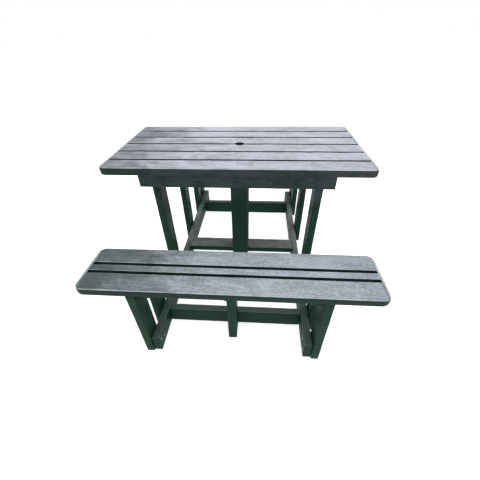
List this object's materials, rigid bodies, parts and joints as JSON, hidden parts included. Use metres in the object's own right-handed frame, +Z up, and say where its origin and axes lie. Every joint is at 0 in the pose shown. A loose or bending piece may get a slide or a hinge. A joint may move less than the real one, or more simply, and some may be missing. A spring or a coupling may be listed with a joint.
{
  "type": "picnic table",
  "caption": "Rectangular picnic table of recycled-plastic boards with a slatted top, an umbrella hole and attached slatted benches.",
  "frame": {"origin": "on the floor, under the centre of the table top and of its umbrella hole", "axes": "+Z up; X along the boards; Y from the front bench to the rear bench"},
  "size_m": [1.256, 1.583, 0.75],
  "materials": {
    "deck_boards": "weathered dark green-grey recycled plastic, worn paler on top",
    "frame_boards": "dark green recycled plastic, extruded satin skin",
    "zinc_screws": "dull zinc-plated steel",
    "coated_screws": "dark green coated steel"
  },
  "bodies": {
    "root": {"apron_front": "frame_boards", "apron_rear": "frame_boards", "bench_centre_leg_front": "frame_boards", "bench_centre_leg_rear": "frame_boards", "bench_post_front_inner_left": "frame_boards", "bench_post_front_inner_right": "frame_boards", "bench_post_front_outer_left": "frame_boards", "bench_post_front_outer_right": "frame_boards", "bench_post_rear_inner_left": "frame_boards", "bench_post_rear_inner_right": "frame_boards", "bench_post_rear_outer_left": "frame_boards", "bench_post_rear_outer_right": "frame_boards", "centre_plank": "frame_boards", "centre_post_front": "frame_boards", "centre_post_rear": "frame_boards", "cross_rail_front": "frame_boards", "cross_rail_rear": "frame_boards", "end_strip_screws": "coated_screws", "frame_screws": "coated_screws", "front_seat_end_strip_left": "deck_boards", "front_seat_end_strip_right": "deck_boards", "front_seat_inner_slat": "deck_boards", "front_seat_middle_batten": "deck_boards", "front_seat_outer_slat": "deck_boards", "post_screws": "zinc_screws", "rear_seat_end_strip_left": "deck_boards", "rear_seat_end_strip_right": "deck_boards", "rear_seat_inner_slat": "deck_boards", "rear_seat_middle_batten": "deck_boards", "rear_seat_outer_slat": "deck_boards", "seat_bearer_front_centre": "frame_boards", "seat_bearer_front_left": "frame_boards", "seat_bearer_front_right": "frame_boards", "seat_bearer_rear_centre": "frame_boards", "seat_bearer_rear_left": "frame_boards", "seat_bearer_rear_right": "frame_boards", "side_beam_left": "frame_boards", "side_beam_right": "frame_boards", "slat_screws": "coated_screws", "table_post_front_left": "frame_boards", "table_post_front_right": "frame_boards", "table_post_rear_left": "frame_boards", "table_post_rear_right": "frame_boards", "top_bearer_centre_front": "frame_boards", "top_bearer_centre_rear": "frame_boards", "top_bearer_left": "frame_boards", "top_bearer_right": "frame_boards", "top_end_strip_left": "deck_boards", "top_end_strip_right": "deck_boards", "top_slat_1": "deck_boards", "top_slat_2": "deck_boards", "top_slat_3": "deck_boards", "top_slat_4": "deck_boards", "top_slat_5": "deck_boards", "top_slat_6": "deck_boards"}
  },
  "joints": []
}
